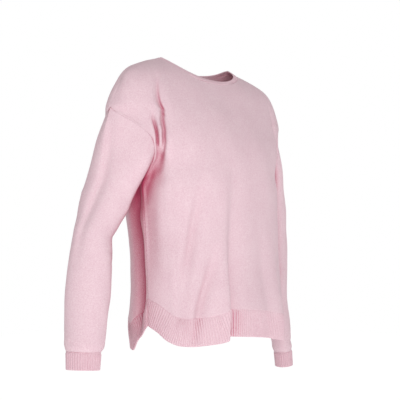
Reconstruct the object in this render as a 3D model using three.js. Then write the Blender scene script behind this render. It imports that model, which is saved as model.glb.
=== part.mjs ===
// Cashmere sweater, worn form: nine knitted panels and bands, each its own hollow cloth solid.
//
// Frame (mm): the origin is midway between the two high points of the shoulders, where the wearer
// holds it; +X is the wearer's left, -Y the front, +Z up. "drop" is a depth below the origin.
import * as THREE from 'three';

// ---------- driving dimensions (mm) ----------
const WALL = 2.0;            // cashmere stocking stitch
const RIB_WALL = 2.4;        // 1 x 1 rib is a little thicker
const SEAM = 0.3;            // pieces stand this far apart at a seam
const NECK_HALF = 120;       // half the neck width, centre to high point of the shoulder
const NECK_FRONT = 54;       // drop of the neck opening at centre front
const NECK_BACK = 24;        // drop of the neck opening at centre back
const NECK_SHARE = 3 / 7;    // share of a half panel's columns that start on the neck opening
const BAND = 11;             // neckband height
const SHOULDER_DROP = 131;   // drop of the shoulder seam's low end, at the dropped shoulder
const UNDERARM_DROP = 288;   // drop of the underarm
const EVEN_DROP = 250;       // from here down the wales stand evenly across a panel
const RIB = 58;              // hem rib height
const RIB_LEAN = 0.18;       // how far the rib's edge columns turn square to the curved hem, 0 to 1
const CUFF_START = 0.9;      // share of the arm, shoulder cap left out, where the cuff begins
const CAP = 0.26;            // share of the sleeve taken by the cap round the armhole
const SLEEVE_START = 0.003;  // share of the sleeve left out beside the armhole seam, so it stands clear
const SECTION_STEPS = 36;    // chords measured along one half section

// One row per level of the body. edgeX: half width at the shoulder, armhole or side seam; frontY and
// backY: depth of that edge on the front and back panel; centreF and centreB: depth at the centre
// lines; turnF and turnB: degrees the section has turned by its edge; sq: squareness, 2 is an ellipse.
const BODY = [
  { drop: 0, edgeX: 112, frontY: 0, backY: 0, centreF: -8, centreB: 36, turnF: 90, turnB: 90, sq: 2.5 },
  { drop: 8, edgeX: 139, frontY: -2, backY: -2, centreF: -18, centreB: 43, turnF: 90, turnB: 90, sq: 2.5 },
  { drop: 16, edgeX: 160, frontY: -5, backY: -5, centreF: -28, centreB: 48, turnF: 90, turnB: 90, sq: 2.6 },
  { drop: 35, edgeX: 207, frontY: -12, backY: -12, centreF: -47, centreB: 56, turnF: 90, turnB: 90, sq: 2.6 },
  { drop: 50, edgeX: 226, frontY: -17, backY: -17, centreF: -61, centreB: 62, turnF: 90, turnB: 90, sq: 2.5 },
  { drop: 80, edgeX: 244, frontY: -17, backY: -17, centreF: -84, centreB: 73, turnF: 90, turnB: 90, sq: 2.4 },
  { drop: 107, edgeX: 256, frontY: -15, backY: -15, centreF: -102, centreB: 84, turnF: 90, turnB: 90, sq: 2.2 },
  { drop: 131, edgeX: 264, frontY: -12, backY: -12, centreF: -116, centreB: 92, turnF: 90, turnB: 90, sq: 2.1 },
  { drop: 146, edgeX: 256, frontY: -30, backY: 14, centreF: -123, centreB: 96, turnF: 78, turnB: 80, sq: 2.1 },
  { drop: 161, edgeX: 238, frontY: -50, backY: 36, centreF: -130, centreB: 100, turnF: 68, turnB: 70, sq: 2.1 },
  { drop: 179, edgeX: 220, frontY: -68, backY: 54, centreF: -138, centreB: 104, turnF: 62, turnB: 64, sq: 2.1 },
  { drop: 199, edgeX: 206, frontY: -80, backY: 66, centreF: -145, centreB: 108, turnF: 58, turnB: 62, sq: 2.1 },
  { drop: 215, edgeX: 200, frontY: -81, backY: 68, centreF: -149, centreB: 112, turnF: 58, turnB: 64, sq: 2.1 },
  { drop: 240, edgeX: 194, frontY: -72, backY: 51, centreF: -154, centreB: 117, turnF: 66, turnB: 72, sq: 2.2 },
  { drop: 265, edgeX: 194, frontY: -53, backY: 8, centreF: -157, centreB: 120, turnF: 78, turnB: 82, sq: 2.2 },
  { drop: 288, edgeX: 196, frontY: -38, backY: -38, centreF: -159, centreB: 122, turnF: 90, turnB: 90, sq: 2.3 },
  { drop: 354, edgeX: 192, frontY: -40, backY: -40, centreF: -161, centreB: 121, turnF: 90, turnB: 90, sq: 2.3 },
  { drop: 428, edgeX: 190, frontY: -44, backY: -44, centreF: -164, centreB: 99, turnF: 90, turnB: 90, sq: 2.3 },
  { drop: 498, edgeX: 193, frontY: -52, backY: -52, centreF: -169, centreB: 93, turnF: 90, turnB: 90, sq: 2.3 },
  { drop: 552, edgeX: 195, frontY: -56, backY: -56, centreF: -178, centreB: 95, turnF: 90, turnB: 90, sq: 2.3 },
  { drop: 585, edgeX: 196, frontY: -58, backY: -58, centreF: -180, centreB: 105, turnF: 90, turnB: 90, sq: 2.3 },
  { drop: 670, edgeX: 197, frontY: -60, backY: -60, centreF: -181, centreB: 96, turnF: 90, turnB: 90, sq: 2.2 },
];

// Hem curves: drop of the hem at a share of the half panel's width, centre 0 to side seam 1, on the
// wearer's right and left. The hem hangs a little unevenly.
const HEM_FRONT_RIGHT = [
  { share: 0, drop: 624 },
  { share: 0.14, drop: 622 },
  { share: 0.24, drop: 621 },
  { share: 0.31, drop: 629 },
  { share: 0.4, drop: 634 },
  { share: 0.5, drop: 637 },
  { share: 0.6, drop: 639 },
  { share: 0.7, drop: 637 },
  { share: 0.8, drop: 628 },
  { share: 0.9, drop: 610 },
  { share: 1, drop: 597 },
];
const HEM_FRONT_LEFT = [
  { share: 0, drop: 624 },
  { share: 0.14, drop: 627 },
  { share: 0.25, drop: 630 },
  { share: 0.36, drop: 635 },
  { share: 0.5, drop: 638 },
  { share: 0.62, drop: 638 },
  { share: 0.72, drop: 635 },
  { share: 0.81, drop: 626 },
  { share: 0.9, drop: 610 },
  { share: 1, drop: 597 },
];
const HEM_BACK_RIGHT = [
  { share: 0, drop: 606 },
  { share: 0.3, drop: 610 },
  { share: 0.5, drop: 629 },
  { share: 0.66, drop: 651 },
  { share: 0.76, drop: 653 },
  { share: 0.86, drop: 632 },
  { share: 1, drop: 597 },
];
const HEM_BACK_LEFT = [
  { share: 0, drop: 606 },
  { share: 0.3, drop: 609 },
  { share: 0.5, drop: 622 },
  { share: 0.66, drop: 635 },
  { share: 0.76, drop: 636 },
  { share: 0.86, drop: 623 },
  { share: 1, drop: 597 },
];

// One row per ring of a sleeve: its centre, the half axis across the arm (from outer back to inner
// front) and the half axis along the other diagonal. The first ring is where the cap ends.
const ARM_RIGHT = [
  { t: 0, x: 267, y: -1, drop: 333, long: 54, short: 42 },
  { t: 0.1, x: 283, y: 2, drop: 369, long: 47, short: 40 },
  { t: 0.2, x: 297, y: 4, drop: 405, long: 42, short: 38 },
  { t: 0.32, x: 302, y: 3, drop: 449, long: 46, short: 36 },
  { t: 0.53, x: 312, y: 0, drop: 525, long: 47, short: 34 },
  { t: 0.7, x: 319, y: -2, drop: 585, long: 44, short: 33 },
  { t: 0.83, x: 323, y: -4, drop: 628, long: 42, short: 31 },
  { t: 0.9, x: 326, y: -5, drop: 648, long: 37, short: 26 },
  { t: 1, x: 328, y: -6, drop: 683, long: 35, short: 23 },
];
const ARM_LEFT = [
  { t: 0, x: 261, y: -2, drop: 338, long: 54, short: 44 },
  { t: 0.1, x: 270, y: 0, drop: 377, long: 48, short: 41 },
  { t: 0.2, x: 279, y: 2, drop: 415, long: 43, short: 39 },
  { t: 0.32, x: 285, y: 4, drop: 464, long: 47, short: 35 },
  { t: 0.53, x: 292, y: 4, drop: 548, long: 46, short: 31 },
  { t: 0.7, x: 302, y: 0, drop: 614, long: 44, short: 27 },
  { t: 0.83, x: 307, y: -2, drop: 660, long: 42, short: 25 },
  { t: 0.9, x: 311, y: -4, drop: 686, long: 37, short: 23 },
  { t: 1, x: 314, y: -5, drop: 722, long: 36, short: 22 },
];

// How the sleeve leaves the armhole seam, outwards and backwards for each step down. turn is round
// the seam: 0 at the shoulder, 90 front, 180 underarm, 270 back.
const LEAVE = [
  { turn: 0, out: 0.36, back: 0 },
  { turn: 45, out: 0.3, back: 0.06 },
  { turn: 90, out: 0.5, back: -0.04 },
  { turn: 135, out: 0.5, back: 0.15 },
  { turn: 180, out: 0.45, back: 0.3 },
  { turn: 225, out: 0.55, back: 0.25 },
  { turn: 270, out: 0.58, back: 0.09 },
  { turn: 315, out: 0.5, back: 0.1 },
  { turn: 360, out: 0.36, back: 0 },
];

// The neckband leans in and stands up by these amounts round the opening (0 centre front, 90 the
// high point of the shoulder, 180 centre back).
const BAND_LEAN = [
  { turn: 0, inward: 7.5, up: 8 },
  { turn: 90, inward: 10, up: 4 },
  { turn: 180, inward: 4, up: 10.2 },
];

// Broad folds of the cloth. across: mm from the centre line along the cloth, + to the wearer's left;
// rise: + a ridge, - a trough. Each runs through three levels and dies away at both ends.
const FOLDS = [
  { panel: -1, from: 60, a0: -188, mid: 160, a1: -186, to: 330, a2: -228, width: 24, rise: -9 },
  { panel: -1, from: 55, a0: 188, mid: 160, a1: 184, to: 330, a2: 226, width: 22, rise: -6 },
  { panel: 1, from: 70, a0: -192, mid: 165, a1: -189, to: 330, a2: -212, width: 23, rise: -6 },
  { panel: 1, from: 70, a0: 194, mid: 165, a1: 192, to: 330, a2: 214, width: 26, rise: -6 },
  { panel: -1, from: 150, a0: -30, mid: 400, a1: -52, to: 760, a2: -62, width: 22, rise: -9 },
  { panel: -1, from: 170, a0: -75, mid: 400, a1: -98, to: 760, a2: -100, width: 30, rise: 7 },
  { panel: -1, from: 380, a0: 20, mid: 520, a1: 35, to: 760, a2: 45, width: 28, rise: 4 },
  { panel: -1, from: 260, a0: -205, mid: 380, a1: -240, to: 520, a2: -232, width: 26, rise: -5 },
  { panel: 1, from: 240, a0: -264, mid: 420, a1: -240, to: 600, a2: -254, width: 28, rise: -16 },
  { panel: 1, from: 240, a0: 264, mid: 420, a1: 240, to: 600, a2: 254, width: 28, rise: -13 },
  { panel: 1, from: 300, a0: -70, mid: 450, a1: -60, to: 720, a2: -75, width: 28, rise: -6 },
  { panel: 1, from: 320, a0: 60, mid: 450, a1: 74, to: 720, a2: 66, width: 30, rise: -5 },
];

// ---------- small helpers ----------
const rad = (deg) => (deg * Math.PI) / 180;
const clamp01 = (v) => Math.min(1, Math.max(0, v));
const smooth = (v) => clamp01(v) ** 2 * (3 - 2 * clamp01(v));
const sum = (a, b, k = 1) => [a[0] + b[0] * k, a[1] + b[1] * k, a[2] + b[2] * k];
const dot = (a, b) => a[0] * b[0] + a[1] * b[1] + a[2] * b[2];
const cross = (a, b) => [a[1] * b[2] - a[2] * b[1], a[2] * b[0] - a[0] * b[2], a[0] * b[1] - a[1] * b[0]];
const unit = (a) => a.map((v) => v / (Math.hypot(...a) || 1));
const span = (n) => Array.from({ length: n + 1 }, (_, i) => i / n);

// Reads a column of a table at any value of its key column, with no overshoot between rows.
function read(table, key, column, at) {
  const last = table.length - 1;
  const x = Math.min(table[last][key], Math.max(table[0][key], at));
  let i = 0;
  while (i < last - 1 && x > table[i + 1][key]) i += 1;
  const slope = (k) => (table[k + 1][column] - table[k][column]) / (table[k + 1][key] - table[k][key]);
  const tangent = (k) => {
    if (k === 0) return slope(0);
    if (k === last) return slope(last - 1);
    const before = slope(k - 1);
    const after = slope(k);
    if (before * after <= 0) return 0;
    const h0 = table[k][key] - table[k - 1][key];
    const h1 = table[k + 1][key] - table[k][key];
    return (3 * (h0 + h1)) / ((2 * h1 + h0) / before + (h1 + 2 * h0) / after);
  };
  const h = table[i + 1][key] - table[i][key];
  const t = (x - table[i][key]) / h;
  return (2 * t ** 3 - 3 * t ** 2 + 1) * table[i][column] + (t ** 3 - 2 * t ** 2 + t) * h * tangent(i)
    + (3 * t ** 2 - 2 * t ** 3) * table[i + 1][column] + (t ** 3 - t ** 2) * h * tangent(i + 1);
}

// ---------- the body's form ----------
// Half a level section of one panel (panel -1 front, 1 back), as points with their length from centre.
function halfSection(panel, drop) {
  const width = read(BODY, 'drop', 'edgeX', drop);
  const shared = drop <= SHOULDER_DROP || drop >= UNDERARM_DROP;
  const edge = read(BODY, 'drop', panel < 0 || shared ? 'frontY' : 'backY', drop);
  const centre = read(BODY, 'drop', panel < 0 ? 'centreF' : 'centreB', drop);
  const turn = rad(read(BODY, 'drop', panel < 0 ? 'turnF' : 'turnB', drop));
  const power = 2 / read(BODY, 'drop', 'sq', drop);
  const points = [];
  let length = 0;
  for (const k of span(SECTION_STEPS)) {
    const x = (width * Math.sin(k * turn) ** power) / Math.sin(turn) ** power;
    const fall = (1 - Math.max(0, Math.cos(k * turn)) ** power) / (1 - Math.max(0, Math.cos(turn)) ** power);
    const y = centre + (edge - centre) * fall;
    const prior = points[points.length - 1];
    if (prior) length += Math.hypot(x - prior.x, y - prior.y);
    points.push({ x, y, length });
  }
  return points;
}
function along(points, key, value) {
  let i = 0;
  while (i < points.length - 2 && value > points[i + 1][key]) i += 1;
  const a = points[i];
  const b = points[i + 1];
  const f = (value - a[key]) / (b[key] - a[key] || 1);
  const mix = (c) => a[c] + (b[c] - a[c]) * f;
  return { x: mix('x'), y: mix('y'), length: mix('length') };
}

// Sum of the folds at a place on a panel.
function foldRise(panel, drop, across) {
  let rise = 0;
  for (const fold of FOLDS) {
    if (fold.panel !== panel || drop <= fold.from || drop >= fold.to) continue;
    const upper = drop < fold.mid;
    const t = upper ? (drop - fold.from) / (fold.mid - fold.from) : (drop - fold.mid) / (fold.to - fold.mid);
    const line = upper ? fold.a0 + (fold.a1 - fold.a0) * smooth(t) : fold.a1 + (fold.a2 - fold.a1) * smooth(t);
    const strength = upper ? smooth(t) : 1 - smooth(t);
    rise += fold.rise * strength * Math.exp(-(((across - line) / fold.width) ** 2));
  }
  return rise;
}

// A place on a panel: share 0 at the centre line, 1 at the edge, signed by side.
function plainCloth(panel, drop, share) {
  const points = halfSection(panel, drop);
  const girth = points[SECTION_STEPS].length;
  const at = along(points, 'length', Math.abs(share) * girth);
  return [Math.sign(share || 1) * at.x, at.y, -drop];
}
function bodyCloth(panel, drop, share) {
  const place = plainCloth(panel, drop, share);
  const girth = halfSection(panel, drop)[SECTION_STEPS].length;
  const seamward = 1 - smooth((Math.abs(share) - 0.82) / 0.17);
  const rise = foldRise(panel, drop, share * girth) * seamward;
  if (rise === 0) return place;
  const beside = plainCloth(panel, drop, share + 0.01);
  const away = unit([(beside[1] - place[1]) * -panel, (beside[0] - place[0]) * panel, 0]);
  return sum(place, away, rise);
}

// The way the cloth faces, level by level, so that pieces which meet face the same way at their seam.
function bodyFacing(panel, spot) {
  const size = Math.min(Math.abs(spot.share), 0.985);
  const share = signed(spot.share, size);
  const cloth = size < 0.985 ? bodyCloth : plainCloth;
  const downward = sum(cloth(panel, spot.drop + 3, share), cloth(panel, spot.drop - 3, share), -1);
  const sideways = sum(cloth(panel, spot.drop, share + 0.012), cloth(panel, spot.drop, share - 0.012), -1);
  return unit(cross(downward, sideways.map((v) => -v * panel)));
}

// Where a column starts: on the neck opening, or on the shoulder seam.
function shoulderDrop(x) {
  let low = 0;
  let high = SHOULDER_DROP;
  for (let i = 0; i < 30; i += 1) {
    const mid = (low + high) / 2;
    if (read(BODY, 'drop', 'edgeX', mid) < x) low = mid;
    else high = mid;
  }
  return (low + high) / 2;
}
function columnTop(panel, share) {
  const s = Math.abs(share);
  if (s >= NECK_SHARE) {
    const reach = BODY.find((row) => row.drop === SHOULDER_DROP).edgeX;
    const x = NECK_HALF + ((reach - NECK_HALF) * (s - NECK_SHARE)) / (1 - NECK_SHARE);
    return { drop: shoulderDrop(x), share: 1, x };
  }
  const turn = (s / NECK_SHARE) * (Math.PI / 2);
  const high = shoulderDrop(NECK_HALF);
  const depth = panel < 0 ? NECK_FRONT : NECK_BACK;
  const drop = high + (depth - high) * Math.cos(turn) ** 1.25;
  const points = halfSection(panel, drop);
  const at = along(points, 'x', Math.min(NECK_HALF * Math.sin(turn), points[SECTION_STEPS].x));
  return { drop, share: at.length / points[SECTION_STEPS].length, x: at.x };
}
function hemDrop(panel, share) {
  const front = share < 0 ? HEM_FRONT_RIGHT : HEM_FRONT_LEFT;
  const back = share < 0 ? HEM_BACK_RIGHT : HEM_BACK_LEFT;
  return read(panel < 0 ? front : back, 'share', 'drop', Math.abs(share));
}

// The hem rib's top line stands square off the hem curve, and upright at the side seam.
function ribTop(panel, share) {
  const s = Math.abs(share);
  const hemAt = (size) => hemDrop(panel, signed(share, Math.min(1, Math.max(0, size))));
  const girth = halfSection(panel, hemAt(s))[SECTION_STEPS].length;
  const fall = (hemAt(s + 0.02) - hemAt(s - 0.02)) / (0.04 * girth);
  const lean = Math.atan(fall) * RIB_LEAN * (1 - smooth((s - 0.82) / 0.18)) * smooth(s / 0.1);
  const drop = hemAt(s) - RIB * Math.cos(lean);
  const across = s * girth + RIB * Math.sin(lean);
  const there = halfSection(panel, drop)[SECTION_STEPS].length;
  return { drop, share: Math.min(1, across / there) };
}

// Panel from its top edge to the rib's top line; rib from there to the hem. Near the top a wale keeps
// its distance from the centre plane; lower down the wales are evenly spread.
function panelSpot(panel, share, level) {
  const top = columnTop(panel, share);
  const foot = ribTop(panel, share);
  const drop = top.drop + (foot.drop - SEAM / 2 - top.drop) * level;
  const size = Math.abs(share);
  const even = size + (foot.share - size) * smooth((level - 0.45) / 0.55);
  const points = halfSection(panel, drop);
  const upright = along(points, 'x', Math.min(top.x, points[SECTION_STEPS].x)).length / points[SECTION_STEPS].length;
  const limit = 1 - (1 - size) * 0.35 * smooth((drop - top.drop) / 25);
  const spread = smooth((drop - top.drop) / Math.max(40, EVEN_DROP - top.drop));
  const s = size > 0.999 ? 1 : Math.min(upright, limit) * (1 - spread) + even * spread;
  return { drop, share: signed(share, trimmed(panel, drop, s)) };
}
function ribSpot(panel, share, level) {
  const top = ribTop(panel, share);
  const start = top.drop + SEAM * 0.8;
  const drop = start + (hemDrop(panel, share) - start) * level;
  const s = top.share + (Math.abs(share) - top.share) * level;
  return { drop, share: signed(share, trimmed(panel, drop, s)) };
}
function signed(share, value) {
  return share < 0 ? -value : value;
}
function trimmed(panel, drop, s) {
  const girth = halfSection(panel, drop)[SECTION_STEPS].length;
  return Math.min(s, 1 - SEAM / girth);
}

// ---------- the sleeves' form (worked on the wearer's left, mirrored for the right) ----------
// Armhole line round the arm: 0 at the shoulder seam, 90 front, 180 underarm, 270 back.
function armhole(turn) {
  const drop = SHOULDER_DROP + ((UNDERARM_DROP - SHOULDER_DROP) * (1 - Math.cos(turn))) / 2;
  const y = read(BODY, 'drop', turn <= Math.PI ? 'frontY' : 'backY', drop);
  return [read(BODY, 'drop', 'edgeX', drop), y, -drop];
}
function armCentre(arm, t) {
  return [read(arm, 't', 'x', t), read(arm, 't', 'y', t), -read(arm, 't', 'drop', t)];
}
function armRing(arm, t, turn) {
  const down = unit(sum(armCentre(arm, clamp01(t + 0.02)), armCentre(arm, clamp01(t - 0.02)), -1));
  const out = unit(sum([1, 0, 0], down, -down[0]));
  const side = cross(down, out);
  const front = side[1] < 0 ? side : side.map((v) => -v);
  const tilt = rad(-45);
  const long = read(arm, 't', 'long', t) * Math.cos(turn - tilt);
  const short = read(arm, 't', 'short', t) * Math.sin(turn - tilt);
  const u = long * Math.cos(tilt) - short * Math.sin(tilt);
  const v = long * Math.sin(tilt) + short * Math.cos(tilt);
  return { place: sum(sum(armCentre(arm, t), out, u), front, v), down };
}
function sleeveCloth(arm, t, turn) {
  if (t >= CAP) return armRing(arm, (t - CAP) / (1 - CAP), turn).place;
  const end = armRing(arm, 0, turn);
  const start = armhole(turn);
  const reach = Math.hypot(...sum(end.place, start, -1));
  const deg = (turn * 180) / Math.PI;
  const leave = unit([read(LEAVE, 'turn', 'out', deg), read(LEAVE, 'turn', 'back', deg), -1]);
  const w = t / CAP;
  const blend = [2 * w ** 3 - 3 * w ** 2 + 1, (w ** 3 - 2 * w ** 2 + w) * reach * 1.4,
    3 * w ** 2 - 2 * w ** 3, (w ** 3 - w ** 2) * reach];
  return [0, 1, 2].map((i) => blend[0] * start[i] + blend[1] * leave[i] + blend[2] * end.place[i]
    + blend[3] * end.down[i]);
}

// ---------- the neckband's form ----------
function neckEdge(turn) {
  const back = turn > Math.PI / 2 && turn < 1.5 * Math.PI;
  const sine = Math.sin(turn);
  const share = (Math.asin(Math.abs(sine)) / (Math.PI / 2)) * NECK_SHARE;
  const panel = back ? 1 : -1;
  const top = columnTop(panel, Math.min(share, NECK_SHARE - 1e-6));
  return bodyCloth(panel, top.drop, signed(sine, top.share));
}
function bandPlace(turn, level) {
  const edge = neckEdge(turn);
  const fold = turn <= Math.PI ? turn : 2 * Math.PI - turn;
  const deg = (fold * 180) / Math.PI;
  const inward = read(BAND_LEAN, 'turn', 'inward', deg);
  const up = read(BAND_LEAN, 'turn', 'up', deg);
  const middle = [0, -4, edge[2]];
  const aim = unit(sum(middle, edge, -1));
  const slope = unit([aim[0] * inward, aim[1] * inward, up]);
  return sum(edge, slope, SEAM * 1.6 + BAND * level);
}

// ---------- cloth solids ----------
// A grid of outer places, each with the way the cloth faces there, becomes a closed thin wall.
// ring: the columns close on themselves.
function clothSolid(name, grid, facing, wall, ring, colour) {
  const rows = grid.length;
  const cols = grid[0].length;
  const inner = grid.map((row, i) => row.map((place, j) => sum(place, facing[i][j], -wall)));
  const places = [...grid.flat(), ...inner.flat()];
  const shift = rows * cols;
  const faces = [];
  const wrap = ring ? cols : cols - 1;
  const quad = (a, b, c, d) => {
    faces.push(a, b, c);
    faces.push(a, c, d);
  };
  const id = (i, j) => i * cols + (j % cols);
  for (let i = 0; i < rows - 1; i += 1) {
    for (let j = 0; j < wrap; j += 1) {
      quad(id(i, j), id(i + 1, j), id(i + 1, j + 1), id(i, j + 1));
      quad(shift + id(i, j), shift + id(i, j + 1), shift + id(i + 1, j + 1), shift + id(i + 1, j));
    }
  }
  for (let j = 0; j < wrap; j += 1) {
    quad(id(0, j), id(0, j + 1), shift + id(0, j + 1), shift + id(0, j));
    quad(id(rows - 1, j + 1), id(rows - 1, j), shift + id(rows - 1, j), shift + id(rows - 1, j + 1));
  }
  for (let i = 0; i < rows - 1 && !ring; i += 1) {
    quad(id(i + 1, 0), id(i, 0), shift + id(i, 0), shift + id(i + 1, 0));
    quad(id(i, cols - 1), id(i + 1, cols - 1), shift + id(i + 1, cols - 1), shift + id(i, cols - 1));
  }
  const geometry = new THREE.BufferGeometry();
  geometry.setAttribute('position', new THREE.Float32BufferAttribute(places.flat(), 3));
  geometry.setIndex(faces);
  geometry.computeVertexNormals();
  const mesh = new THREE.Mesh(geometry, new THREE.MeshStandardMaterial({ color: colour, roughness: 0.95 }));
  mesh.name = name;
  return mesh;
}
// The way a ring-shaped grid faces, read from its own rows and columns.
function ringFacing(grid) {
  const rows = grid.length;
  const cols = grid[0].length;
  const row = (i) => grid[Math.min(rows - 1, Math.max(0, i))];
  return grid.map((line, i) => line.map((place, j) => {
    const downward = sum(row(i + 1)[j], row(i - 1)[j], -1);
    const sideways = sum(line[(j + 1) % cols], line[(j + cols - 1) % cols], -1);
    return unit(cross(downward, sideways));
  }));
}

// Front columns run from the wearer's right to left, back columns the other way, so walls face out.
const COLUMNS = span(28).map((k) => 2 * k - 1);
const EDGE_END = hemDrop(-1, 1) - RIB;
const EDGE_LENGTH = EDGE_END - SEAM / 2 - SHOULDER_DROP;
const UNDERARM_LEVEL = (UNDERARM_DROP - SHOULDER_DROP) / EDGE_LENGTH;
const ARMHOLE_LEVELS = [0, 0.05, 0.13, 0.22, 0.32, 0.42, 0.52, 0.62, 0.72, 0.82, 0.92, 1].map(
  (k) => k * UNDERARM_LEVEL);
const LEVELS = [...ARMHOLE_LEVELS, 0.46, 0.54, 0.63, 0.72, 0.82, 0.91, 1];

// Front and back meet face to face: at the shoulder and side seams both walls stand square to the seam.
function panelSolid(name, panel, spotOf, levels, wall, colour) {
  const columns = panel < 0 ? COLUMNS : [...COLUMNS].reverse();
  const spots = levels.map((level) => columns.map((share) => spotOf(panel, share, level)));
  const grid = spots.map((row) => row.map((spot) => bodyCloth(panel, spot.drop, spot.share)));
  const facing = spots.map((row, i) => row.map((spot, j) => {
    const normal = bodyFacing(panel, spot);
    const shoulder = i === 0 && Math.abs(columns[j]) > NECK_SHARE - 0.01 && spot.drop < SHOULDER_DROP + 1;
    const side = Math.abs(columns[j]) > 0.999 && spot.drop > UNDERARM_DROP - 1;
    return shoulder || side ? unit([normal[0], 0, normal[2]]) : normal;
  }));
  return clothSolid(name, grid, facing, wall, false, colour);
}

// Sleeve and cuff columns stand at the same places round the armhole as the body's rows.
const HALF_TURNS = ARMHOLE_LEVELS.map((level) => Math.acos(Math.max(-1, 1 - (2 * level) / UNDERARM_LEVEL)));
const TURNS = [...HALF_TURNS, ...HALF_TURNS.slice(1, -1).reverse().map((turn) => 2 * Math.PI - turn)].reverse();
function armSolid(name, levels, placeOf, right, wall, colour) {
  const made = levels.map((t) => TURNS.map((turn) => placeOf(t, turn)));
  const grid = right ? made.map((row) => row.map(([x, y, z]) => [-x, y, z]).reverse()) : made;
  return clothSolid(name, grid, ringFacing(grid), wall, true, colour);
}
function sleeve(name, arm, right) {
  const end = CAP + (1 - CAP) * CUFF_START - 0.0006;
  const levels = [SLEEVE_START, 0.035, 0.08, 0.13, 0.19, 0.26, 0.33, 0.41, 0.45, 0.5, 0.58, 0.67, 0.76, 0.84, 0.89, end];
  return armSolid(name, levels, (t, turn) => sleeveCloth(arm, t, turn), right, WALL, 0xe6c2cc);
}
function cuff(name, arm, right) {
  const levels = span(2).map((k) => CUFF_START + (1 - CUFF_START) * k);
  return armSolid(name, levels, (t, turn) => armRing(arm, t, turn).place, right, RIB_WALL, 0xe2b9c4);
}
function neckband(name) {
  const turns = span(24).slice(0, 24).map((k) => 2 * Math.PI * k);
  const grid = [1, 0.5, 0].map((level) => turns.map((turn) => bandPlace(turn, level)));
  return clothSolid(name, grid, ringFacing(grid), RIB_WALL, true, 0xe2b9c4);
}

const group = new THREE.Group();
group.name = 'cashmere_sweater';
group.add(panelSolid('front', -1, panelSpot, LEVELS, WALL, 0xe6c2cc));
group.add(panelSolid('back', 1, panelSpot, LEVELS, WALL, 0xe6c2cc));
group.add(panelSolid('hem_rib_front', -1, ribSpot, span(3), RIB_WALL, 0xe2b9c4));
group.add(panelSolid('hem_rib_back', 1, ribSpot, span(3), RIB_WALL, 0xe2b9c4));
group.add(sleeve('sleeve_right', ARM_RIGHT, true));
group.add(sleeve('sleeve_left', ARM_LEFT, false));
group.add(cuff('cuff_right', ARM_RIGHT, true));
group.add(cuff('cuff_left', ARM_LEFT, false));
group.add(neckband('neckband'));

export default group;
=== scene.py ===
# %% [markdown]
# # A cashmere sweater, worn by nobody
# The object is a pale pink cashmere pullover with dropped shoulders, a wide round neck and a
# curved, ribbed hem. It keeps the shape it has when worn: a hollow body, two hollow sleeves, and
# open neck, hem and cuffs. A knitter makes it from nine pieces: front, back, two sleeves, a
# neckband, two hem ribs and two cuffs. Each of them is one piece here too.
#
# Cloth like this could be simulated over a dummy, sculpted, or worked out from measurements. It is
# worked out here, because a knitted garment is already a set of measurements: so wide at this
# level, so deep at the centre, a fold here. All lengths in the tables are millimetres. The origin
# is midway between the two high points of the shoulders, +X is the wearer's left, -Y the front,
# and "drop" is a depth below the origin.

# %% Load the frame
import math

import bpy
import numpy as np
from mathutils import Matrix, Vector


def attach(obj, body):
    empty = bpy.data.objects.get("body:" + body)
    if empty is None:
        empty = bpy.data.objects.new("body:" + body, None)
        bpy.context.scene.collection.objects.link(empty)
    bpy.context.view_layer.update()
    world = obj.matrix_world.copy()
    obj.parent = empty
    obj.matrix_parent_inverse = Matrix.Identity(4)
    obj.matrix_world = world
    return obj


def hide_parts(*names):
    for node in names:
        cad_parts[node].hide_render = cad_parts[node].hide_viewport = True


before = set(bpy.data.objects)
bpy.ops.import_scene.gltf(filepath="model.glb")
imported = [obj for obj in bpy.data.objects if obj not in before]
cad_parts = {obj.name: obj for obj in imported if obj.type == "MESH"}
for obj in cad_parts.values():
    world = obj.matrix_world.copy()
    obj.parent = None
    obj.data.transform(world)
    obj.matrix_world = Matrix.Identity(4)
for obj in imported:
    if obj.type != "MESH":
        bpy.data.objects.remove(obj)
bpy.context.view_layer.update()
MM = 0.001
print("packed pieces:", ", ".join(sorted(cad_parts)))

# %% [markdown]
# ## Camera, floor and light
# The sweater is seen from its right front, from the height of its waist, with a long lens from a
# little over two metres away, so its near and far shoulders look almost the same size. The room
# is a plain white studio: a white world, a white floor at the height where the wearer's feet
# would be, and one large soft lamp near the camera. Soft light suits cashmere, because its nap
# has no highlight and its form is read from slow changes of tone alone.

# %% Camera
CAMERA_TURN = 45  # degrees from straight ahead, round to the wearer's right
CAMERA_PITCH = 3.75  # degrees upward
CAMERA_PLACE = (-1.5464, -1.5648, -0.462)  # metres from the origin
CAMERA_LENS = 85.14  # mm
camera_data = bpy.data.cameras.new("studio_camera")
camera_data.sensor_width = 36
camera_data.lens = CAMERA_LENS
camera = bpy.data.objects.new("studio_camera", camera_data)
camera.location = CAMERA_PLACE
camera.rotation_euler = (math.radians(90 + CAMERA_PITCH), 0, math.radians(-CAMERA_TURN))
bpy.context.scene.collection.objects.link(camera)
bpy.context.scene.camera = camera
bpy.context.scene.view_settings.view_transform = "Standard"
print("camera distance from the origin, m:", round(camera.location.length, 2))


# %% Colours and nodes
def linear(code):
    """An sRGB hex colour as linear red, green, blue and 1."""
    parts = [int(code[k : k + 2], 16) / 255 for k in (1, 3, 5)]
    return [v / 12.92 if v <= 0.04045 else ((v + 0.055) / 1.055) ** 2.4 for v in parts] + [1.0]


def node(tree, kind, settings=None, **links):
    """Adds a node. settings go on its properties or sockets; links are sockets or plain values."""
    made = tree.nodes.new(kind)
    for name, value in (settings or {}).items():
        if hasattr(made, name):
            setattr(made, name, value)
        else:
            made.inputs[name].default_value = value
    for name, value in links.items():
        numbered = name[1:].isdigit()
        socket = made.inputs[int(name[1:]) if numbered else name.replace("_", " ")]
        if isinstance(value, bpy.types.NodeSocket):
            tree.links.new(value, socket)
        else:
            socket.default_value = value
    return made


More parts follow.
